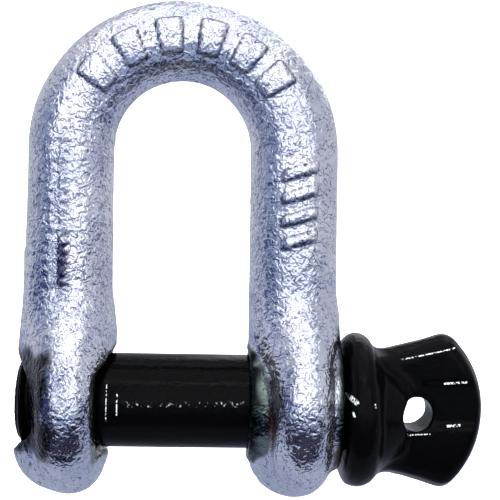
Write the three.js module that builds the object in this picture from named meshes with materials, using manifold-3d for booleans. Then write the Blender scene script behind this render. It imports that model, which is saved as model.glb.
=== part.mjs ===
// A screw pin dee shackle: a forged D-shaped bow with two ears, and a collared screw pin across them.
// Millimetres, +Z up towards the crown. The pin lies along X with its thumb tab at +X, and the origin
// is on the pin's axis, midway between the ears. The threaded ear is at -X and the plain ear at +X.

import * as THREE from 'three';
import { ParametricGeometry } from 'three/addons/geometries/ParametricGeometry.js';
import { mergeVertices } from 'three/addons/utils/BufferGeometryUtils.js';
import Module from 'manifold-3d';

// Bow
const legGap = 16.4;
const insideLength = 32.2;
const legDiameter = 9.8;
const crownDiameter = 9.25;
const eyeRadius = 10.9;
const innerBossRadius = 6.7;
const innerBossX = 8;
const milledTo = 9.4;
const shoulderBlend = 4;
const bottomBlend = 0.8;

// Screw pin
const shankRadius = 5.5;
const tipX = -18.65;
const tabEndX = 36;
const collarRadius = 9.05;
const collarThickness = 3.6;
const tabThickness = 5.8;
const tabCornerX = 31.7;
const tabCornerHeight = 9.45;
const tabEdgeRadius = 12.2;
const tabBevel = 1.3;
const neckHalfHeight = 7.2;
const wireHoleRadius = 2;
const wireHoleX = 27.8;
// The forged head sits a little off the machined shank's axis, and the cone behind its collar a little more.
const headDrop = 0.75;
const coneDrop = 0.55;

// Thread, right-handed
const pitch = 25.4 / 14;
const threadCrest = 5.45;
const threadDepth = 0.85;
const threadStartX = -11;
const crestClearance = 0.3;

// Fits
const plainBoreRadius = 5.85;
const seatGap = 0.3;
const boreChamfer = 0.15;
const tappedChamfer = 0.4;

// Sizes worked out from those above
const bendRadius = legGap / 2;
const legRadius = legDiameter / 2;
const crownHeight = shankRadius + insideLength - bendRadius;
const legX = bendRadius + legRadius;
const tappedBoreRadius = threadCrest + crestClearance;
const threadedEar = { ballBottom: -10.7, swell: 0.75, inner: 9.1, outer: 15.8, rim: 3.2, boss: null };
const outerBoss = { radius: 7.9, face: 18.7 };
const plainEar = { ballBottom: -11.1, swell: 0.2, inner: 10.8, outer: 17.2, rim: 3.1, boss: outerBoss };
const collarX = outerBoss.face + seatGap;
const neckX = collarX + collarThickness;

// Mesh fineness
const roundSteps = 36;
const sectionSteps = 28;
const threadStepsPerTurn = 5;

const wasm = await Module();
wasm.setup();

function toSolid(geometry) {
  const bare = geometry.clone();
  bare.deleteAttribute('normal');
  bare.deleteAttribute('uv');
  const merged = mergeVertices(bare, 1e-4);
  const index = merged.index.array;
  const triangles = [];
  for (let i = 0; i < index.length; i += 3) {
    const [a, b, c] = index.slice(i, i + 3);
    if (a !== b && b !== c && c !== a) triangles.push(a, b, c);
  }
  const mesh = new wasm.Mesh({
    numProp: 3,
    vertProperties: new Float32Array(merged.attributes.position.array),
    triVerts: new Uint32Array(triangles),
  });
  return new wasm.Manifold(mesh);
}

function toGeometry(solid) {
  const mesh = solid.getMesh();
  const geometry = new THREE.BufferGeometry();
  geometry.setAttribute('position', new THREE.BufferAttribute(new Float32Array(mesh.vertProperties), 3));
  geometry.setIndex(new THREE.BufferAttribute(new Uint32Array(mesh.triVerts), 1));
  geometry.computeVertexNormals();
  return geometry;
}

// A turned solid about the X axis from [x, radius] points that start and end on the axis.
function turned(points) {
  const profile = points.map(([x, radius]) => new THREE.Vector2(radius, x));
  const geometry = new THREE.LatheGeometry(profile, roundSteps);
  geometry.rotateZ(-Math.PI / 2);
  return toSolid(geometry);
}

// A closed skin through a row of rings, each ring being points from a function of the turn 0 to 1.
function skinned(rings, steps) {
  const last = rings.length - 1;
  const place = (turn, along, target) => rings[Math.round(along * last)](turn, target);
  return toSolid(new ParametricGeometry(place, steps, last));
}

// A right-handed threaded rod about the X axis, with its crests fading out at both ends.
function threadedRod(fromX, toX, rootRadius, depth, fade) {
  const count = Math.round((toX - fromX) / pitch * threadStepsPerTurn);
  const rings = [(turn, target) => target.set(fromX, 0, 0)];
  for (let i = 0; i <= count; i++) {
    const x = THREE.MathUtils.lerp(fromX, toX, i / count);
    const strength = Math.min(1, (x - fromX) / fade, (toX - x) / fade);
    rings.push((turn, target) => {
      const phase = THREE.MathUtils.euclideanModulo(x / pitch - turn, 1);
      const ridge = Math.max(0, 1 - Math.abs(phase - 0.5) / 0.42);
      const radius = rootRadius + depth * ridge * Math.max(0, strength);
      const angle = turn * 2 * Math.PI;
      target.set(x, radius * Math.cos(angle), radius * Math.sin(angle));
    });
  }
  rings.push((turn, target) => target.set(toX, 0, 0));
  return skinned(rings, roundSteps);
}

// Signed distances, negative inside. The width is measured outwards from the middle of the bow.
function smoothUnion(a, b, reach) {
  const overlap = Math.max(reach - Math.abs(a - b), 0) / reach;
  return Math.min(a, b) - overlap * overlap * reach / 4;
}

function roundedDisc(width, y, z, radius, from, to, rim) {
  const outOfRadius = Math.hypot(y, z) - (radius - rim);
  const outOfFaces = Math.abs(width - (from + to) / 2) - ((to - from) / 2 - rim);
  const outside = Math.hypot(Math.max(outOfRadius, 0), Math.max(outOfFaces, 0));
  return outside + Math.min(Math.max(outOfRadius, outOfFaces), 0) - rim;
}

function crownDistance(width, y, z) {
  const rise = z - crownHeight;
  const fromCentre = Math.hypot(width, rise);
  const upwards = (rise / fromCentre) ** 2;
  const radius = THREE.MathUtils.lerp(legDiameter, crownDiameter, upwards) / 2;
  return Math.hypot(fromCentre - bendRadius - radius, y) - radius;
}

function legDistance(width, y, z, ear) {
  const down = THREE.MathUtils.clamp((crownHeight - z) / crownHeight, 0, 1);
  const radius = legRadius + ear.swell * down ** 2;
  const belowBall = Math.min(0, z - (ear.ballBottom + radius));
  return Math.hypot(width - bendRadius - radius, y, belowBall) - radius;
}

function bowDistance(x, y, z) {
  const width = Math.abs(x);
  if (z > crownHeight) return crownDistance(width, y, z);
  const ear = x < 0 ? threadedEar : plainEar;
  const leg = legDistance(width, y, z, ear);
  const eye = roundedDisc(width, y, z, eyeRadius, ear.inner, ear.outer, ear.rim);
  const rise = THREE.MathUtils.smoothstep(z, -7, 2);
  const body = smoothUnion(leg, eye, THREE.MathUtils.lerp(bottomBlend, shoulderBlend, rise));
  if (!ear.boss) return body;
  const boss = roundedDisc(width, y, z, ear.boss.radius, ear.inner, ear.boss.face, 0.5);
  return smoothUnion(body, boss, 1);
}

// Where a ray from inside the bow leaves it.
function surfaceAlong(centre, direction, target) {
  let inside = 0;
  let outside = 15;
  for (let i = 0; i < 30; i++) {
    const middle = (inside + outside) / 2;
    target.copy(direction).multiplyScalar(middle).add(centre);
    if (bowDistance(target.x, target.y, target.z) < 0) inside = middle;
    else outside = middle;
  }
}

// A ring of rays: from a centre, spread about an axis, and tilted away from it for the ears' round ends.
function bowRing(centre, outwards, down, tilt) {
  const across = new THREE.Vector3(0, -1, 0);
  return (turn, target) => {
    const angle = turn * 2 * Math.PI;
    const direction = outwards.clone().multiplyScalar(Math.cos(angle) * Math.cos(tilt));
    direction.addScaledVector(across, Math.sin(angle) * Math.cos(tilt));
    direction.addScaledVector(down, Math.sin(tilt));
    surfaceAlong(centre, direction, target);
  };
}

function earAndLegRings(side) {
  const outwards = new THREE.Vector3(side, 0, 0);
  const down = new THREE.Vector3(0, 0, -1);
  const rings = [];
  const earSteps = 10;
  for (let i = 0; i <= earSteps; i++) {
    const tilt = Math.PI / 2 * (1 - i / earSteps);
    rings.push(bowRing(new THREE.Vector3(side * legX, 0, 0), outwards, down, tilt));
  }
  const eyeSteps = 16;
  const shoulder = eyeRadius + 3;
  for (let i = 1; i <= eyeSteps; i++) {
    rings.push(bowRing(new THREE.Vector3(side * legX, 0, shoulder * i / eyeSteps), outwards, down, 0));
  }
  const legSteps = 4;
  for (let i = 1; i < legSteps; i++) {
    const height = THREE.MathUtils.lerp(shoulder, crownHeight, i / legSteps);
    rings.push(bowRing(new THREE.Vector3(side * legX, 0, height), outwards, down, 0));
  }
  return rings;
}

function crownRings() {
  const rings = [];
  const steps = 24;
  for (let i = 0; i <= steps; i++) {
    const angle = Math.PI * (1 - i / steps);
    const outwards = new THREE.Vector3(Math.cos(angle), 0, Math.sin(angle));
    const centre = outwards.clone().multiplyScalar(legX).setZ(crownHeight + legX * Math.sin(angle));
    rings.push(bowRing(centre, outwards, new THREE.Vector3(), 0));
  }
  return rings;
}

// The rings' outward directions turn with the bow, so the whole forging is one skin between two poles.
function forging() {
  const left = earAndLegRings(-1);
  const right = earAndLegRings(1).reverse();
  return skinned([...left, ...crownRings(), ...right], sectionSteps);
}

// The boss round the plain bore, on the ear's inner side.
function innerBoss() {
  const middle = (plainEar.inner + plainEar.outer) / 2;
  return turned([[innerBossX, 0], [innerBossX, innerBossRadius], [middle, innerBossRadius], [middle, 0]]);
}

// The shallow channel milled straight across the inner side of the threaded ear.
function milledChannel() {
  const top = 4.6;
  const bottom = -5.9;
  const box = new THREE.BoxGeometry(milledTo, 3 * eyeRadius, top - bottom);
  box.translate(-milledTo / 2, 0, (top + bottom) / 2);
  return toSolid(box);
}

function plainBore() {
  const mouth = plainBoreRadius + boreChamfer;
  return turned([
    [innerBossX - 1, 0],
    [innerBossX - 1, mouth],
    [innerBossX, mouth],
    [innerBossX + boreChamfer, plainBoreRadius],
    [outerBoss.face - boreChamfer, plainBoreRadius],
    [outerBoss.face, mouth],
    [outerBoss.face + 1, mouth],
    [outerBoss.face + 1, 0],
  ]);
}

// The flat seat milled round the plain bore for the collar.
function spotFace() {
  const seat = outerBoss.face;
  const cutterRadius = collarRadius + 0.6;
  return turned([[seat, 0], [seat, cutterRadius], [seat + 3, cutterRadius], [seat + 3, 0]]);
}

function tappedBore() {
  const face = -milledTo;
  const mouth = tappedBoreRadius + tappedChamfer;
  const thread = threadedRod(-threadedEar.outer, face + 0.2, tappedBoreRadius, threadDepth, 0.8);
  const drilled = turned([[tipX - 1, 0], [tipX - 1, tappedBoreRadius], [face, tappedBoreRadius], [face, 0]]);
  const countersink = turned([
    [face - tappedChamfer, 0],
    [face - tappedChamfer, tappedBoreRadius],
    [face, mouth],
    [-bendRadius + 1, mouth],
    [-bendRadius + 1, 0],
  ]);
  return drilled.add(thread).add(countersink);
}

function makeBow() {
  const blank = forging().add(innerBoss()).subtract(milledChannel()).subtract(spotFace());
  return blank.subtract(plainBore()).subtract(tappedBore());
}

// Tip, thread core, relief and shank.
function shank() {
  const root = threadCrest - threadDepth;
  return turned([
    [tipX, 0],
    [tipX, root - 0.4],
    [tipX + 0.5, root],
    [threadStartX + 1.2, root],
    [threadStartX + 1.8, shankRadius],
    [collarX + 1, shankRadius],
    [collarX + 1, 0],
  ]);
}

function collar() {
  const rimRadius = collarThickness / 2;
  const rimSteps = 12;
  const rim = [];
  for (let i = 0; i <= rimSteps; i++) {
    const angle = Math.PI * i / rimSteps;
    const x = collarX + rimRadius - rimRadius * Math.cos(angle);
    rim.push([x, collarRadius - rimRadius + rimRadius * Math.sin(angle)]);
  }
  return turned([[collarX, 0], ...rim, [neckX, 0]]);
}

// Runs from the back of the collar into the tab.
function cone() {
  const start = neckX - 1.5;
  const solid = turned([[start, 0], [start, 7.7], [neckX, 7.5], [neckX + 3.5, 5], [neckX + 4.5, 0]]);
  return solid.translate(0, 0, -coneDrop);
}

// The tab's fan outline: straight flaring sides from the neck, and a convex outer edge.
function tabOutline() {
  const edgeCentre = tabEndX - tabEdgeRadius;
  const cornerAngle = Math.asin((tabCornerHeight - 0.3) / tabEdgeRadius);
  const shape = new THREE.Shape();
  shape.moveTo(neckX - 2, -neckHalfHeight + 0.3);
  shape.lineTo(neckX + 0.6, -neckHalfHeight);
  shape.lineTo(tabCornerX - 0.6, -tabCornerHeight);
  shape.absarc(edgeCentre, 0, tabEdgeRadius, -cornerAngle, cornerAngle, false);
  shape.lineTo(tabCornerX - 0.6, tabCornerHeight);
  shape.lineTo(neckX + 0.6, neckHalfHeight);
  shape.lineTo(neckX - 2, neckHalfHeight - 0.3);
  shape.closePath();
  return shape;
}

function tab() {
  const geometry = new THREE.ExtrudeGeometry(tabOutline(), {
    depth: tabThickness - 2 * tabBevel,
    bevelEnabled: true,
    bevelThickness: tabBevel,
    bevelSize: tabBevel,
    bevelOffset: -tabBevel,
    bevelSegments: 3,
    curveSegments: 10,
  });
  geometry.rotateX(Math.PI / 2);
  geometry.translate(0, tabThickness / 2 - tabBevel, 0);
  return toSolid(geometry);
}

function wireHole() {
  const geometry = new THREE.CylinderGeometry(wireHoleRadius, wireHoleRadius, 2 * tabThickness, 24);
  geometry.translate(wireHoleX, 0, 0);
  return toSolid(geometry);
}

function makeScrewPin() {
  const root = threadCrest - threadDepth;
  const thread = threadedRod(tipX + 0.3, threadStartX, root, threadDepth, 1);
  const head = collar().add(cone()).add(tab()).subtract(wireHole());
  return shank().add(thread).add(head.translate(0, 0, -headDrop));
}

const galvanised = new THREE.MeshStandardMaterial({ color: 0xc4c9d3, roughness: 0.42, metalness: 0.85 });
const blackPaint = new THREE.MeshStandardMaterial({ color: 0x0b0b0d, roughness: 0.16, metalness: 0.1 });

const group = new THREE.Group();

const bow = new THREE.Mesh(toGeometry(makeBow()), galvanised);
bow.name = 'bow';
group.add(bow);

const screwPin = new THREE.Mesh(toGeometry(makeScrewPin()), blackPaint);
screwPin.name = 'screw_pin';
group.add(screwPin);

export default group;
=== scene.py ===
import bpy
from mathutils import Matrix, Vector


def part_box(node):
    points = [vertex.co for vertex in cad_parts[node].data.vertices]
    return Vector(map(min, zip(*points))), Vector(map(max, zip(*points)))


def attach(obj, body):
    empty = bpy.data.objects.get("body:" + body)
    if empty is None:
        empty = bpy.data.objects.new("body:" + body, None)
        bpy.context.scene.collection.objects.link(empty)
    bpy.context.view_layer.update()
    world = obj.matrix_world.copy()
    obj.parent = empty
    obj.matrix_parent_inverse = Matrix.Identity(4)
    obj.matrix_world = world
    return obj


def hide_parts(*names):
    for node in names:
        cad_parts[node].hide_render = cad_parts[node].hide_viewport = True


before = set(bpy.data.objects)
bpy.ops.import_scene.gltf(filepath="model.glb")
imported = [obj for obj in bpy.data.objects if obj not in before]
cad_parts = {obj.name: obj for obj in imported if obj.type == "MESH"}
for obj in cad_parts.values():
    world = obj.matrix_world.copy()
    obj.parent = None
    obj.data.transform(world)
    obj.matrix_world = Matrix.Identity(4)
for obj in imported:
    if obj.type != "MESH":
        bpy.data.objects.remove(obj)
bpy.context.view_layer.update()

import math

import bpy
import numpy as np
from mathutils import Matrix, Vector

# A screw pin dee shackle. Lengths in this script are millimetres until a mesh is made, in the frame of
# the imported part: X along the pin with its thumb tab at +X, Z up to the crown, origin on the pin's axis.
# Both forgings are written as signed distances, which are negative inside, and then meshed.
MM = 0.001
bow_low, bow_high = (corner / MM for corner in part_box("bow"))
pin_low, pin_high = (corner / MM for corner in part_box("screw_pin"))

# Bow
BEND_RADIUS = 8.2
LEG_RADIUS = 4.9
CROWN_RADIUS = 4.625
THREADED_SWELL = 0.75
PLAIN_SWELL = 0.2
LEAN = 0.2
# The plain side of the bar is this much thicker all round.
STOUTER = 0.18
EYE_RADIUS = bow_high.y
THREADED_EYE = (9.1, 15.8, 3.2)
PLAIN_EYE = (10.8, 17.2, 3.1)
BALL_BOTTOM = (-10.7, -11.1)
CROWN_HEIGHT = bow_high.z - 2 * CROWN_RADIUS - BEND_RADIUS
MILLED_TO = 9.4
INNER_BOSS = (8.0, 6.7)
OUTER_BOSS = (18.7, 7.9)
FRONT_OF_MARKS = -1.0
CROWN_PAD_BEARINGS = (140, 119, 98, 77, 57, 38)
SLANTED_PADS = 4
FINE_PADS = 15
BLOTTED_FROM_ROW = 8
CELL = 0.27

# Screw pin
SHANK_RADIUS = 5.5
TIP_X = pin_low.x
TAB_END = pin_high.x
COLLAR_RADIUS = 9.05
COLLAR_X = OUTER_BOSS[0] + 0.3
COLLAR_THICKNESS = 3.6
NECK_X = COLLAR_X + COLLAR_THICKNESS
HEAD_DROP = 0.75
CONE_DROP = 0.55
TAB_HALF_THICKNESS = 2.9
TAB_CORNER = (31.7, 9.45)
TAB_EDGE_RADIUS = 12.2
WIRE_HOLE = (27.75, -0.1, 2.0)
CHANNEL_DEPTH = 0.42
PITCH = 25.4 / 14
THREAD_CREST = 5.45
THREAD_DEPTH = 0.85
THREAD_START = -11.0
CREST_CLEARANCE = 0.3
PLAIN_BORE = 5.85
# Painted highlights: glints drawn as light lines between two points (x, z) with half their width, on the
# tab's corner, its channel, the wire hole's edge, the collar and the shank.
GLINT_LINES = (
    ((25.8, 5.6), (32.1, 7.0), 0.09),
    ((31.0, 2.8), (33.5, 3.0), 0.16),
    ((31.4, -2.2), (32.9, -2.1), 0.16),
    ((26.9, -3.2), (29.3, -3.1), 0.08),
    ((19.2, 1.9), (19.7, 1.5), 0.35),
    ((19.4, 0.3), (19.5, 0.0), 0.16),
    ((21.8, 1.3), (21.9, 1.0), 0.12),
    ((-8.2, -1.5), (-8.2, 2.5), 0.07),
    ((-7.0, -0.8), (-7.0, 1.5), 0.09),
)
# The same for a speckled painted highlight along the shank.
SHANK_GLINT_LINE = ((-6.0, 0.4), (7.2, 0.6), 0.4)

# Camera
CAMERA_PLACE = Vector((3, -115, 20.9))
CAMERA_YAW, CAMERA_PITCH, CAMERA_ROLL = (math.radians(angle) for angle in (2.44, -1.46, 1.2))

# Stage, in metres
SWEEP_FLAT = 1.2
SWEEP_BEND = 0.3
SWEEP_TOP = 2.0
SWEEP_SIDES = 64


# ---- signed distances ----

def soft_min(a, b, reach):
    overlap = np.maximum(reach - np.abs(a - b), 0) / reach
    return np.minimum(a, b) - overlap * overlap * reach / 4


def soft_max(a, b, reach):
    return -soft_min(-a, -b, reach)


def smooth(value):
    value = np.clip(value, 0, 1)
    return value * value * (3 - 2 * value)


def value_noise(points, wavelength, seed):
    """Smooth noise from -1 to 1 with about that wavelength, from hashed lattice corners."""
    scaled = points / wavelength + 37.7 * seed
    cell = np.floor(scaled).astype(np.int64)
    part = scaled - cell
    part = part * part * (3 - 2 * part)
    total = np.zeros(len(points))
    for corner in range(8):
        offset = np.array([corner & 1, corner >> 1 & 1, corner >> 2])
        lattice = cell + offset
        mixed = lattice[:, 0] * 73856093 ^ lattice[:, 1] * 19349663 ^ lattice[:, 2] * 83492791
        mixed = (mixed ^ mixed >> 13) * 1274126177 & 0x7FFFFFFF
        share = np.prod(np.where(offset, part, 1 - part), axis=1)
        total += share * (mixed / 0x3FFFFFFF - 1)
    return total


def rounded_disc(along, radial, radius, start, end, rim):
    over_radius = radial - (radius - rim)
    over_faces = np.abs(along - (start + end) / 2) - ((end - start) / 2 - rim)
    outside = np.hypot(np.maximum(over_radius, 0), np.maximum(over_faces, 0))
    return outside + np.minimum(np.maximum(over_radius, over_faces), 0) - rim


def bar(width, y, z, threaded):
    """The bent round bar: a half torus for the crown, and a capsule for each leg."""
    rise = z - CROWN_HEIGHT
    from_centre = np.hypot(width, rise)
    upwards = (np.maximum(rise, 0) / np.maximum(from_centre, 0.01)) ** 2
    crown = LEG_RADIUS + (CROWN_RADIUS - LEG_RADIUS) * upwards
    crown_distance = np.hypot(from_centre - BEND_RADIUS - crown, y) - crown
    down = np.clip(-rise / CROWN_HEIGHT, 0, 1) ** 2
    leg = LEG_RADIUS + np.where(threaded, THREADED_SWELL, PLAIN_SWELL) * down
    below_ball = np.minimum(z - (np.where(threaded, *BALL_BOTTOM) + leg), 0)
    leg_distance = np.sqrt((width - BEND_RADIUS - leg) ** 2 + y ** 2 + below_ball ** 2) - leg
    return np.where(rise > 0, crown_distance, leg_distance)


def blank(points):
    """The forging before it is machined."""
    x, y, z = points.T
    width = np.abs(x)
    threaded = x < 0
    radial = np.hypot(y, z)
    body = bar(width, y, z, threaded)
    eye = np.where(threaded, rounded_disc(width, radial, EYE_RADIUS, *THREADED_EYE),
                   rounded_disc(width, radial, EYE_RADIUS, *PLAIN_EYE))
    body = body - STOUTER * smooth(x / 8) * smooth((z + 16) / 20)
    below_crown = z < CROWN_HEIGHT
    reach = 0.8 + 3.2 * smooth((z + 7) / 9)
    body = np.where(below_crown, soft_min(body, eye, reach), body)
    face, radius = OUTER_BOSS
    outer = rounded_disc(width, radial, radius, PLAIN_EYE[0], face, 0.5)
    face, radius = INNER_BOSS
    inner = rounded_disc(width, radial, radius, face, PLAIN_EYE[1], 0.25)
    bossed = soft_min(soft_min(body, outer, 0.7), inner, 0.7)
    return np.where(below_crown & ~threaded, bossed, body)


def thread_radius(x, y, z, root, depth):
    """A right-hand thread's radius at each point, from a trapezoid with rounded crests and roots."""
    turn = np.arctan2(z, y) / (2 * math.pi)
    phase = np.mod(x / PITCH - turn, 1)
    ridge = smooth((0.42 - np.abs(phase - 0.5)) / 0.34)
    return root + depth * ridge


def bores(points):
    """What the drill, the tap and the mill take away: negative inside the cutters."""
    x, y, z = points.T
    radial = np.hypot(y, z)
    depth = THREAD_DEPTH * smooth(x + THREADED_EYE[1]) * smooth(-MILLED_TO - x)
    tapped = radial - thread_radius(x, y, z, THREAD_CREST + CREST_CLEARANCE, depth)
    mouth = THREAD_CREST + CREST_CLEARANCE + 0.6
    countersink = (radial - mouth - np.minimum(x + MILLED_TO, 0)) * 0.7
    tapped = np.minimum(tapped * 0.8, countersink)
    face = OUTER_BOSS[0]
    inner_mouth = (radial - PLAIN_BORE - 0.15 + np.maximum(x - INNER_BOSS[0], 0)) * 0.7
    outer_mouth = (radial - PLAIN_BORE - 0.5 - np.minimum(x - face, 0)) * 0.7
    plain = np.minimum(radial - PLAIN_BORE, np.minimum(inner_mouth, outer_mouth))
    bore = np.where(x < 0, tapped, plain)
    seat = np.maximum(face - x, radial - COLLAR_RADIUS - 0.6)
    return np.minimum(bore, seat)


def milled_channel(x, z):
    """A shallow channel straight across the threaded ear's inner side, with a round upper end."""
    over_top = z - 5.2
    beyond = -x - MILLED_TO
    square = np.maximum(np.maximum(beyond, over_top), -6.0 - z)
    corner = np.hypot(np.maximum(beyond + 2.2, 0), np.maximum(over_top + 2.2, 0)) - 2.2
    return np.where(x < 0, np.maximum(square, corner), 5.0)


def bow_shape(points):
    x, _, z = points.T
    leaning = points.copy()
    leaning[:, 0] += LEAN * smooth(z / (1.2 * CROWN_HEIGHT))
    body = soft_max(blank(leaning), -milled_channel(x, z), 0.3)
    return soft_max(body, -bores(points), 0.25)


# ---- what the dies and the zinc leave on the bow ----

def pad(across, along, half_width, half_length, wall=0.3):
    """1 on a raised pad with round corners, falling to 0 at its foot."""
    beyond_width = np.maximum(np.abs(across) - half_width + 0.35, 0)
    beyond_length = np.maximum(np.abs(along) - half_length + 0.35, 0)
    return smooth((0.35 + wall / 2 - np.hypot(beyond_width, beyond_length)) / wall)


def forged_pads(points):
    """Each plain pad as its cover, height and share of painted shade at its foot: a row round the crown and
    two columns on the legs.
    """
    x, _, z = points.T
    angle = np.arctan2(z - CROWN_HEIGHT, x)
    radial = np.hypot(x, z - CROWN_HEIGHT) - BEND_RADIUS - CROWN_RADIUS
    for degrees in CROWN_PAD_BEARINGS:
        along = (angle - math.radians(degrees)) * (BEND_RADIUS + CROWN_RADIUS)
        yield pad(along, radial, 1.35, 1.95), 1.0, 1.0
    centre_x = BEND_RADIUS + LEG_RADIUS
    for row in range(SLANTED_PADS):
        up = z - CROWN_HEIGHT + 2.4 + 2.6 * row
        slanted = up - 0.3 * (x - centre_x)
        yield pad(slanted, x - centre_x - 0.2, 0.62, 2.0), 1.0, 0.9
    for row in range(FINE_PADS):
        up = z - CROWN_HEIGHT - 0.8 + 1.15 * row
        blotted = 0.8 * smooth((row - BLOTTED_FROM_ROW) / 2)
        yield pad(x + centre_x + 2.2, up, 0.75, 0.42), 0.2, 0.15
        yield pad(x + centre_x + 0.2, up, 0.6, 0.42), 0.2 + 0.2 * blotted, 0.2 + blotted


def raised_marks(points):
    """How far the pads stand out on the front of the bow, from 0 to 1."""
    height = np.zeros(len(points))
    for cover, rise, _ in forged_pads(points):
        height = np.maximum(height, cover * rise)
    wobble = 1 + 0.12 * value_noise(points, 1.6, 8)
    return np.where(points[:, 1] < FRONT_OF_MARKS, height * wobble, 0)


def parting_line(points):
    """The low ridge that trimming the flash leaves round the outline, in the plane of the D."""
    _, y, z = points.T
    wander = 0.25 * value_noise(points, 5.0, 4)
    ridge = smooth(1 - np.abs(y + wander) / 0.75)
    clear_of_cuts = smooth((np.hypot(y, z) - OUTER_BOSS[1] - 1.6) / 1.5)
    return ridge * clear_of_cuts * (0.7 + 0.3 * value_noise(points, 3.0, 5))


def zinc(points):
    """Waves, lumps and pits that the hot dip leaves, in millimetres out from the steel."""
    waves = 0.045 * value_noise(points, 4.2, 1) + 0.018 * value_noise(points, 1.7, 2)
    grain = 0.008 * value_noise(points, 0.8, 3)
    lumps = 0.12 * smooth((value_noise(points, 2.2, 6) - 0.6) / 0.35)
    pits = 0.08 * smooth((value_noise(points, 1.3, 7) - 0.68) / 0.2)
    return waves + grain + lumps - pits


def machined(points):
    """1 where a cutter left a bare flat or bore, which stays smooth."""
    x, y, z = points.T
    radial = np.hypot(y, z)
    bore = smooth((PLAIN_BORE + 0.5 - radial) / 0.5)
    channel = smooth((0.25 - np.abs(milled_channel(x, z))) / 0.2)
    boss = smooth((PLAIN_EYE[0] + 0.3 - x) / 0.3) * smooth((INNER_BOSS[1] + 0.4 - radial) / 0.3) * (x > 0)
    seat = smooth((x - OUTER_BOSS[0] + 0.8) / 0.3) * smooth((COLLAR_RADIUS + 0.8 - radial) / 0.3)
    return np.maximum(np.maximum(bore, channel), np.maximum(boss, seat))


def painted_crease_shade(points):
    """Up to 1 for painted shade in the crease at the foot of each pad, and for a dark blot low on the fine
    ones.
    """
    crease_shade_share = np.zeros(len(points))
    for cover, _, share in forged_pads(points):
        crease_shade_share = np.maximum(crease_shade_share, share * smooth(cover / 0.12) * smooth((0.75 - cover) / 0.4))
    x, y, z = points.T
    beside = (x + BEND_RADIUS + LEG_RADIUS + 0.4) / 0.6
    beyond = np.maximum(np.abs(z - 15.8) - 2.0, 0) / 0.9
    blot = 1.05 - np.hypot(beside, beyond) + 0.9 * value_noise(points, 0.6, 27)
    crease_shade_share = np.maximum(crease_shade_share, 0.9 * smooth(blot / 0.6))
    return np.where(y < FRONT_OF_MARKS, crease_shade_share, 0)


def rust(points):
    """Brown stains in the corners beside the bosses and at the mouths of the tapped bore."""
    x, y, z = points.T
    ragged = 0.5 * value_noise(points, 1.4, 21)
    radial = np.hypot(y, z)
    boss_root = np.hypot(x - PLAIN_EYE[0] - 0.3, 0.7 * (radial - INNER_BOSS[1] - 0.4))
    boss_root = boss_root + 0.35 * np.maximum(np.abs(z - 0.6) - 3.4, 0)
    seat_foot = np.hypot(x - OUTER_BOSS[0] + 0.3, radial - OUTER_BOSS[1]) + 0.5 * np.maximum(z + 5.2, 0)
    mouth = 2.4 * np.maximum(radial - THREAD_CREST - CREST_CLEARANCE - 0.7, 0) + 0.5 * np.maximum(1 - z, 0)
    mouth = np.where(x < 0, mouth, 9.0)
    return smooth((1.3 - np.minimum(np.minimum(boss_root, seat_foot), mouth) - ragged) / 0.9)


def painted_pin_shade(points):
    """Near-black painted shade where the pin meets the bow: in the bores' mouths, by the collar and down
    the threaded ear's front.
    """
    x, y, z = points.T
    radial = np.hypot(y, z) + 0.5 * value_noise(points, 1.1, 23)
    end = smooth((9.8 - x + 0.5 * value_noise(points, 0.9, 24)) / 1.4)
    plain = end * smooth((INNER_BOSS[1] + 0.5 - radial) / 0.4)
    tapped = smooth((THREAD_CREST + CREST_CLEARANCE + 0.9 - radial) / 0.5)
    seat = smooth((x - OUTER_BOSS[0] + 1.1 + 0.3 * value_noise(points, 1.3, 25)) / 0.5)
    seat = seat * smooth((COLLAR_RADIUS + 0.5 - radial) / 0.7)
    ragged = 0.9 * value_noise(points, 1.6, 26)
    # On the threaded ear's outer side the painted shade lies only on its front.
    outer = smooth((-x - 13.1 + ragged) / 1.5) * smooth((6.4 + ragged - np.abs(z - 0.6)) / 1.4)
    outer = outer * smooth((-1.0 - y) / 4)
    return np.where(x > 0, np.maximum(plain, 0.9 * seat), np.maximum(tapped, 0.96 * outer))


def bow_surface(points):
    relief = zinc(points) + 0.4 * raised_marks(points) + 0.14 * parting_line(points)
    return bow_shape(points) - relief * (1 - 0.85 * machined(points))


# ---- screw pin ----

def collar_and_cone(x, y, z):
    """The collar with its full-round rim, and the cone that carries it into the tab."""
    half = COLLAR_THICKNESS / 2
    collar = rounded_disc(x, np.hypot(y, z), COLLAR_RADIUS, COLLAR_X, NECK_X, half - 0.02)
    from_cone = np.hypot(y, z + CONE_DROP)
    cone = (from_cone - 7.5 + 0.7 * (x - NECK_X)) * 0.8
    cone = np.maximum(np.maximum(cone, from_cone - 7.8), COLLAR_X + 1.0 - x)
    cone = soft_max(cone, x - NECK_X - 4.0, 1.0)
    return soft_min(collar, cone, 1.0)


def shank(x, y, z, radial):
    root = THREAD_CREST - THREAD_DEPTH
    near_start = smooth((THREAD_START - 0.2 - x) / 1.2)
    near_tip = smooth((x - TIP_X - 0.2) / 0.5)
    threaded = radial - thread_radius(x, y, z, root, THREAD_DEPTH * near_start * near_tip)
    tip_chamfer = (radial - root - 0.2 - (x - TIP_X)) * 0.7
    threaded = np.maximum(threaded * 0.8, np.maximum(tip_chamfer, TIP_X - x))
    threaded = np.maximum(threaded, x - THREAD_START - 2)
    plain = radial - SHANK_RADIUS
    chamfer = (radial - SHANK_RADIUS + (THREAD_START + 1.9 - x)) * 0.7
    plain = soft_max(plain, np.maximum(chamfer, THREAD_START + 1.2 - x), 0.15)
    plain = np.maximum(plain, x - COLLAR_X - 1)
    return np.minimum(threaded, plain)


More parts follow.
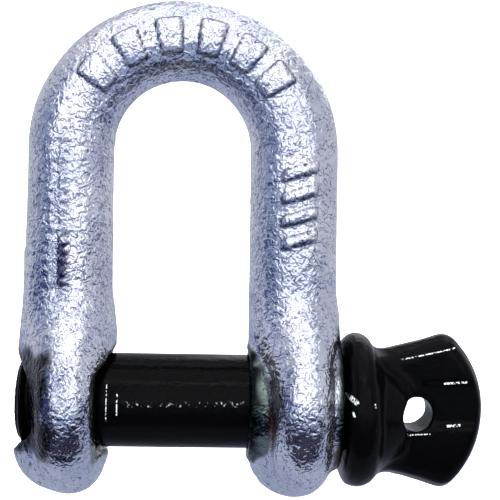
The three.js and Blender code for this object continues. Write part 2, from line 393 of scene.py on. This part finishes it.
def tab_outline(x, z):
    """Signed distance to the fan: straight flaring sides from the neck and a convex outer edge."""
    height = np.abs(z)
    neck = np.array([NECK_X - 1.5, 6.9])
    corner = np.array(TAB_CORNER)
    run = corner - neck
    normal = np.array([-run[1], run[0]]) / np.hypot(*run)
    side = (x - neck[0]) * normal[0] + (height - neck[1]) * normal[1]
    side = side + 0.35 * np.sin(np.clip((x - neck[0]) / run[0], 0, 1) * math.pi)
    edge = np.hypot(x - TAB_END + TAB_EDGE_RADIUS, z) - TAB_EDGE_RADIUS
    return soft_max(soft_max(side, edge, 1.1), NECK_X - 2 - x, 0.5)


def tab(x, y, z):
    """The fan-shaped plate, with drafted sides and a shallow channel on each face, and its wire hole."""
    outline = tab_outline(x, z)
    drafted = outline + 0.42 * np.maximum(np.abs(y) - 0.5, 0)
    thickness = TAB_HALF_THICKNESS - 0.25 * smooth((x - NECK_X - 4) / 8)
    channel = smooth((3.05 - np.abs(z - WIRE_HOLE[1] - 1.2)) / 1.0) * smooth((x - WIRE_HOLE[0]) / 1.5)
    slab = soft_max(drafted, np.abs(y) - thickness + CHANNEL_DEPTH * channel, 0.9)
    hole = np.hypot(x - WIRE_HOLE[0], z - WIRE_HOLE[1]) - WIRE_HOLE[2]
    return slab, hole


def pin_shape(points):
    x, y, z = points.T
    body = shank(x, y, z, np.hypot(y, z))
    lowered = z + HEAD_DROP
    slab, hole = tab(x, y, lowered)
    head = soft_min(collar_and_cone(x, y, lowered), slab, 1.2)
    head = soft_max(head, -hole, 0.5)
    return np.where(x < COLLAR_X - 1, body, np.minimum(head, body))


def pin_surface(points):
    forged = smooth((points[:, 0] - COLLAR_X) / 1.0)
    skin = 0.05 * value_noise(points, 2.6, 11) + 0.015 * value_noise(points, 0.9, 12)
    return pin_shape(points) - skin * (0.12 + 0.88 * forged)


# ---- meshing ----

def slope(surface, points):
    reach = 0.02
    steps = np.eye(3) * reach
    return np.stack([surface(points + s) - surface(points - s) for s in steps], axis=1) / (2 * reach)


def settle(surface, points, rounds):
    """Moves points onto the surface, along its slope."""
    for _ in range(rounds):
        gradient = slope(surface, points)
        steep = np.maximum((gradient ** 2).sum(axis=1), 0.1)
        move = (surface(points) / steep)[:, None] * gradient
        length = np.linalg.norm(move, axis=1, keepdims=True)
        points = points - move * np.minimum(1, 0.2 / np.maximum(length, 1e-9))
    return points


def cell_quads(inside, index):
    """One quad round each grid edge that crosses the surface, wound to face outwards."""
    quads = []
    for axis in range(3):
        grid = np.moveaxis(inside, axis, 0)
        cells = np.moveaxis(index, axis, 0)
        crossing = grid[:-1, 1:-1, 1:-1] != grid[1:, 1:-1, 1:-1]
        i, j, k = np.nonzero(crossing)
        leaving = grid[i, j + 1, k + 1]
        quad = np.stack([cells[i, j, k], cells[i, j + 1, k], cells[i, j + 1, k + 1], cells[i, j, k + 1]], 1)
        flip = leaving if axis != 1 else ~leaving
        quad[~flip] = quad[~flip][:, ::-1]
        quads.append(quad)
    return np.concatenate(quads)


def relax(points, quads):
    """Each point moves half way to the mean of its neighbours."""
    total = np.zeros_like(points)
    count = np.zeros(len(points))
    for a, b in ((0, 1), (1, 2), (2, 3), (3, 0)):
        for here, there in ((quads[:, a], quads[:, b]), (quads[:, b], quads[:, a])):
            for axis in range(3):
                total[:, axis] += np.bincount(here, points[there, axis], len(points))
            count += np.bincount(here, minlength=len(points))
    return (points + total / count[:, None]) / 2


def mesh_of(name, rough, fine, low, high, cell, paints=()):
    """A smooth closed mesh of the fine surface, found on a grid through the rough one."""
    axes = [np.arange(a - 2 * cell, b + 3 * cell, cell) for a, b in zip(low, high)]
    grid = np.stack(np.meshgrid(*axes, indexing="ij"), axis=-1)
    inside = rough(grid.reshape(-1, 3)).reshape(grid.shape[:3]) < 0
    ends = (slice(None, -1), slice(1, None))
    count = sum(inside[i, j, k].astype(int) for i in ends for j in ends for k in ends)
    mixed = (count > 0) & (count < 8)
    index = np.full(mixed.shape, -1)
    index[mixed] = np.arange(mixed.sum())
    points = grid[:-1, :-1, :-1][mixed] + cell / 2
    quads = cell_quads(inside, index)
    points = settle(rough, points, 4)
    for _ in range(3):
        points = settle(rough, relax(points, quads), 1)
    points = settle(fine, points, 4)
    mesh = bpy.data.meshes.new(name)
    mesh.from_pydata((points * MM).tolist(), [], quads.tolist())
    mesh.validate()
    mesh.shade_smooth()
    for paint in paints:
        layer = mesh.attributes.new(paint.__name__, "FLOAT", "POINT")
        layer.data.foreach_set("value", paint(points))
    piece = bpy.data.objects.new(name, mesh)
    bpy.context.scene.collection.objects.link(piece)
    return piece


# ---- materials ----

class Nodes:
    """Short calls for building a node tree."""

    def __init__(self, name):
        self.material = bpy.data.materials.new(name)
        self.material.use_nodes = True
        self.tree = self.material.node_tree
        self.shader = self.tree.nodes["Principled BSDF"]
        self.place = self.tree.nodes.new("ShaderNodeTexCoord").outputs["Object"]

    def link(self, source, target):
        self.tree.links.new(source, target)

    def noise(self, wavelength_mm, detail=2.0, rough=0.5, distortion=0.0):
        node = self.tree.nodes.new("ShaderNodeTexNoise")
        node.inputs["Scale"].default_value = 1 / (wavelength_mm * MM)
        node.inputs["Detail"].default_value = detail
        node.inputs["Roughness"].default_value = rough
        node.inputs["Distortion"].default_value = distortion
        self.link(self.place, node.inputs["Vector"])
        return node.outputs["Fac"]

    def math(self, operation, a, b=0.0):
        node = self.tree.nodes.new("ShaderNodeMath")
        node.operation = operation
        for socket, value in zip(node.inputs, (a, b)):
            if isinstance(value, (int, float)):
                socket.default_value = value
            else:
                self.link(value, socket)
        return node.outputs[0]

    def fit(self, value, low, high, to_low=0.0, to_high=1.0):
        node = self.tree.nodes.new("ShaderNodeMapRange")
        node.interpolation_type = "SMOOTHSTEP"
        self.link(value, node.inputs["Value"])
        for key, number in (("From Min", low), ("From Max", high), ("To Min", to_low), ("To Max", to_high)):
            node.inputs[key].default_value = number
        return node.outputs[0]

    def mix(self, share, a, b):
        node = self.tree.nodes.new("ShaderNodeMix")
        node.data_type = "RGBA"
        self.link(share, node.inputs["Factor"])
        for socket, value in ((node.inputs[6], a), (node.inputs[7], b)):
            if isinstance(value, tuple):
                socket.default_value = (*value, 1)
            else:
                self.link(value, socket)
        return node.outputs[2]

    def bump(self, height, distance_mm, strength=1.0, after=None):
        node = self.tree.nodes.new("ShaderNodeBump")
        node.inputs["Distance"].default_value = distance_mm * MM
        node.inputs["Strength"].default_value = strength
        self.link(height, node.inputs["Height"])
        if after is not None:
            self.link(after, node.inputs["Normal"])
        return node.outputs["Normal"]

    def painted(self, name):
        """The share that a numpy function wrote on the mesh's points."""
        node = self.tree.nodes.new("ShaderNodeAttribute")
        node.attribute_name = name
        return node.outputs["Fac"]

    def vector(self, operation, a, b):
        node = self.tree.nodes.new("ShaderNodeVectorMath")
        node.operation = operation
        for socket, value in zip(node.inputs, (a, b)):
            if isinstance(value, Vector):
                socket.default_value = value
            else:
                self.link(value, socket)
        return node

    def glint_line(self, start, end, half_width):
        """1 along a line between two points (x, z), in millimetres, on both faces of the piece."""
        first = Vector((start[0], 0, start[1])) * MM
        run = Vector((end[0], 0, end[1])) * MM - first
        flat = self.vector("MULTIPLY", self.place, Vector((1, 0, 1))).outputs["Vector"]
        out = self.vector("SUBTRACT", flat, first).outputs["Vector"]
        along = self.vector("DOT_PRODUCT", out, run / run.length_squared).outputs["Value"]
        along = self.math("MINIMUM", self.math("MAXIMUM", along, 0.0), 1.0)
        nearest = self.vector("SCALE", run, run)
        self.link(along, nearest.inputs["Scale"])
        gap = self.vector("DISTANCE", out, nearest.outputs["Vector"]).outputs["Value"]
        return self.fit(gap, 0.4 * half_width * MM, half_width * MM, 1.0, 0.0)


def galvanised():
    """Hot-dip zinc: bright lavender grey with a fine crinkle, and painted shade as dark blue squiggles
    along the crinkle.
    """
    n = Nodes("galvanised_zinc")
    crinkle = n.noise(0.66, 1.0, 0.5, 0.7)
    fine = n.noise(0.3, 2.0, 0.6)
    patches = n.noise(6.0, 3.0)
    streaks = n.noise(2.4, 4.0, 0.65, 1.0)
    # Painted shade: dark blue squiggles where the crinkle crosses its middle, in streaks, mixed into the
    # base colour.
    lines = n.math("ABSOLUTE", n.math("SUBTRACT", crinkle, 0.5))
    painted_squiggle_shade = n.fit(lines, 0.0, 0.04, 1.0, 0.0)
    painted_squiggle_shade = n.math("MULTIPLY", painted_squiggle_shade, n.fit(streaks, 0.4, 0.52))
    light = n.mix(n.fit(patches, 0.35, 0.65), (0.60, 0.63, 0.72), (0.75, 0.76, 0.82))
    colour = n.mix(n.math("MULTIPLY", painted_squiggle_shade, 0.92), light, (0.025, 0.035, 0.17))
    colour = n.mix(n.painted("machined"), colour, n.mix(fine, (0.03, 0.05, 0.045), (0.26, 0.32, 0.30)))
    crease_shade_share = n.math("MULTIPLY", n.painted("painted_crease_shade"), n.fit(streaks, 0.3, 0.5, 0.5, 1.0))
    # Painted shade: near-black blue in the creases at the foot of the pads, and the dark blot on the left
    # leg.
    colour = n.mix(crease_shade_share, colour, (0.008, 0.01, 0.06))
    colour = n.mix(n.math("MULTIPLY", n.painted("rust"), 0.9), colour, (0.10, 0.035, 0.012))
    # Painted shade: near black where the pin meets the bow and on the front of the threaded ear.
    colour = n.mix(n.painted("painted_pin_shade"), colour, (0.004, 0.005, 0.006))
    n.link(colour, n.shader.inputs["Base Color"])
    n.shader.inputs["Metallic"].default_value = 0.98
    n.link(n.fit(fine, 0.3, 0.7, 0.07, 0.19), n.shader.inputs["Roughness"])
    normal = n.bump(crinkle, 0.2, 1.0)
    n.link(n.bump(fine, 0.02, 1.0, normal), n.shader.inputs["Normal"])
    return n.material


def black_paint():
    """Thick gloss black with the orange peel of a dipped coat."""
    n = Nodes("black_gloss_paint")
    peel = n.noise(0.8, 3.0, 0.55)
    specks = n.noise(0.35, 2.0, 0.6)
    broken = n.fit(n.noise(0.22, 1.0), 0.44, 0.54)
    # Painted highlights: light lines where glints fall, broken up by noise and mixed into the black base
    # colour.
    painted_glints = n.glint_line(*GLINT_LINES[0])
    for line in GLINT_LINES[1:]:
        painted_glints = n.math("MAXIMUM", painted_glints, n.glint_line(*line))
    painted_glints = n.math("MULTIPLY", painted_glints, broken)
    # Painted highlight: speckles along the shank's glint line.
    shank_glint = n.math("MULTIPLY", n.glint_line(*SHANK_GLINT_LINE), n.fit(specks, 0.6, 0.68, 0.0, 0.3))
    painted_glints = n.math("MAXIMUM", painted_glints, shank_glint)
    n.link(n.mix(painted_glints, (0.001, 0.001, 0.0012), (0.72, 0.76, 0.76)), n.shader.inputs["Base Color"])
    n.link(n.fit(specks, 0.35, 0.65, 0.05, 0.13), n.shader.inputs["Roughness"])
    n.shader.inputs["Specular IOR Level"].default_value = 0.05
    normal = n.bump(peel, 0.05, 1.0)
    n.link(n.bump(specks, 0.02, 1.0, normal), n.shader.inputs["Normal"])
    return n.material


# ---- stage, lights and camera ----

def make_camera():
    """In front of the bow, a little above its middle, with a slight roll."""
    data = bpy.data.cameras.new("camera")
    data.sensor_width = 36
    data.lens = 70
    camera = bpy.data.objects.new("camera", data)
    bpy.context.scene.collection.objects.link(camera)
    ahead = Vector((math.sin(CAMERA_YAW), math.cos(CAMERA_YAW), 0))
    forward = math.cos(CAMERA_PITCH) * ahead + math.sin(CAMERA_PITCH) * Vector((0, 0, 1))
    level = Vector((math.cos(CAMERA_YAW), -math.sin(CAMERA_YAW), 0))
    above = level.cross(forward)
    right = math.cos(CAMERA_ROLL) * level + math.sin(CAMERA_ROLL) * above
    up = right.cross(forward)
    turn = Matrix((right, up, -forward)).transposed().to_4x4()
    camera.matrix_world = Matrix.Translation(CAMERA_PLACE * MM) @ turn
    bpy.context.scene.camera = camera


def make_stage():
    """A white floor just under the shackle that sweeps up into a wall all round."""
    floor_z = (bow_low.z - 0.6) * MM
    outline = [(SWEEP_FLAT + SWEEP_BEND, floor_z + SWEEP_TOP)]
    for step in range(9):
        angle = math.pi / 2 * step / 8
        radius = SWEEP_FLAT + SWEEP_BEND * math.cos(angle)
        outline.append((radius, floor_z + SWEEP_BEND * (1 - math.sin(angle))))
    rim = [(math.cos(math.tau * side / SWEEP_SIDES), math.sin(math.tau * side / SWEEP_SIDES))
           for side in range(SWEEP_SIDES)]
    vertices = [(radius * x, radius * y, z) for radius, z in outline for x, y in rim]
    floor_start = (len(outline) - 1) * SWEEP_SIDES
    faces = [tuple(range(floor_start, floor_start + SWEEP_SIDES))]
    for ring in range(0, floor_start, SWEEP_SIDES):
        for side in range(SWEEP_SIDES):
            here, there = ring + side, ring + (side + 1) % SWEEP_SIDES
            faces.append((here, there, there + SWEEP_SIDES, here + SWEEP_SIDES))
    mesh = bpy.data.meshes.new("sweep")
    mesh.from_pydata(vertices, [], faces)
    mesh.shade_smooth()
    sweep = bpy.data.objects.new("sweep", mesh)
    bpy.context.scene.collection.objects.link(sweep)
    n = Nodes("sweep_white")
    n.shader.inputs["Base Color"].default_value = (0.9, 0.9, 0.9, 1)
    n.shader.inputs["Roughness"].default_value = 0.9
    n.shader.inputs["Emission Color"].default_value = (1, 1, 1, 1)
    n.shader.inputs["Emission Strength"].default_value = 0.7
    mesh.materials.append(n.material)
    sweep.visible_glossy = False


def card(name, corners, radiance, blocks_light=False):
    """A sheet of one even shade that the camera doesn't see, for the metal to reflect."""
    mesh = bpy.data.meshes.new(name)
    mesh.from_pydata(corners, [], [(0, 1, 2, 3)])
    sheet = bpy.data.objects.new(name, mesh)
    bpy.context.scene.collection.objects.link(sheet)
    sheet.visible_camera = False
    sheet.visible_diffuse = False
    sheet.visible_shadow = blocks_light
    n = Nodes(name)
    n.shader.inputs["Base Color"].default_value = (0, 0, 0, 1)
    n.shader.inputs["Specular IOR Level"].default_value = 0
    n.shader.inputs["Emission Color"].default_value = (*radiance, 1)
    n.shader.inputs["Emission Strength"].default_value = 1
    n.material.cycles.emission_sampling = "NONE"
    mesh.materials.append(n.material)


def floor_card(name, across, along, z, radiance):
    """A level card between two values of x and two of y, in metres."""
    (left, right), (front, back) = across, along
    card(name, [(left, front, z), (right, front, z), (right, back, z), (left, back, z)], radiance)


def wall_card(name, start, end, heights, radiance, blocks_light=False):
    """An upright card over a line from one (x, y) to another, between two heights, in metres."""
    low, high = heights
    corners = [(*start, low), (*end, low), (*end, high), (*start, high)]
    card(name, corners, radiance, blocks_light)


def make_cards():
    shade_z = (bow_low.z - 0.45) * MM
    cloth_z = shade_z + 0.1 * MM
    floor_card("floor_shade", (-0.4, 0.4), (-0.07, 0.4), shade_z, (0.42, 0.46, 0.60))
    floor_card("blue_cloth", (-0.2, 0.2), (-0.2, -0.034), cloth_z, (0.30, 0.37, 0.55))
    floor_card("dark_cloth", (-0.12, 0.13), (-0.034, -0.011), cloth_z, (0.0, 0.0, 0.03))
    wall_card("left_shade", (-0.28, -0.3), (-0.3, 0.02), (-0.3, 0.2), (0.28, 0.33, 0.50), True)
    wall_card("near_left", (-0.055, -0.05), (-0.08, 0.005), (cloth_z, 0.014), (0.03, 0.05, 0.20), True)
    wall_card("near_front", (-0.03, -0.04), (-0.012, -0.04), (0.006, 0.034), (0.42, 0.47, 0.62), True)
    wall_card("low_front", (-0.5, -0.42), (0.4, -0.42), (-0.092, 0), (0.92, 0.93, 1.0))
    wall_card("ear_front", (-0.17, -0.41), (0.08, -0.41), (-0.096, -0.055), (3.2, 3.2, 3.3))


def area_light(name, azimuth, elevation, distance, size, radiance):
    """A light that faces the bow, placed by its bearing right of the view and its height, in degrees."""
    data = bpy.data.lights.new(name, "AREA")
    data.shape = "RECTANGLE"
    data.size, data.size_y = size
    data.energy = radiance * math.pi * size[0] * size[1]
    light = bpy.data.objects.new(name, data)
    bpy.context.scene.collection.objects.link(light)
    azimuth, elevation = math.radians(azimuth), math.radians(elevation)
    away = Vector((math.sin(azimuth) * math.cos(elevation), -math.cos(azimuth) * math.cos(elevation),
                   math.sin(elevation)))
    light.location = Vector((0, 0, CROWN_HEIGHT / 2 * MM)) + away * distance
    light.rotation_euler = away.to_track_quat("Z", "Y").to_euler()
    light.visible_camera = False


def make_lights():
    world = bpy.data.worlds.new("studio")
    world.use_nodes = True
    background = world.node_tree.nodes["Background"]
    background.inputs["Color"].default_value = (0.62, 0.64, 0.71, 1)
    background.inputs["Strength"].default_value = 1.0
    bpy.context.scene.world = world
    area_light("front", -3, 20, 0.6, (1.25, 0.5), 0.93)
    area_light("behind", 160, 35, 0.5, (0.3, 0.3), 1.3)
    area_light("top", 0, 82, 0.5, (0.7, 0.6), 0.9)
    area_light("glint", 6, -3, 0.5, (0.014, 0.009), 40)
    area_light("strip", -3, 50, 0.5, (0.2, 0.013), 14)
    bpy.context.scene.view_settings.view_transform = "Standard"


# ---- putting it together ----

def add_piece(piece, node, body, material):
    piece.data.materials.append(material)
    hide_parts(node)
    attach(piece, body)


make_camera()
bow_paints = (machined, painted_crease_shade, rust, painted_pin_shade)
bow = mesh_of("forged_bow", bow_shape, bow_surface, bow_low, bow_high, CELL, bow_paints)
add_piece(bow, "bow", "bow", galvanised())
pin = mesh_of("forged_screw_pin", pin_shape, pin_surface, pin_low, pin_high, CELL)
add_piece(pin, "screw_pin", "screw_pin", black_paint())
make_stage()
make_cards()
make_lights()
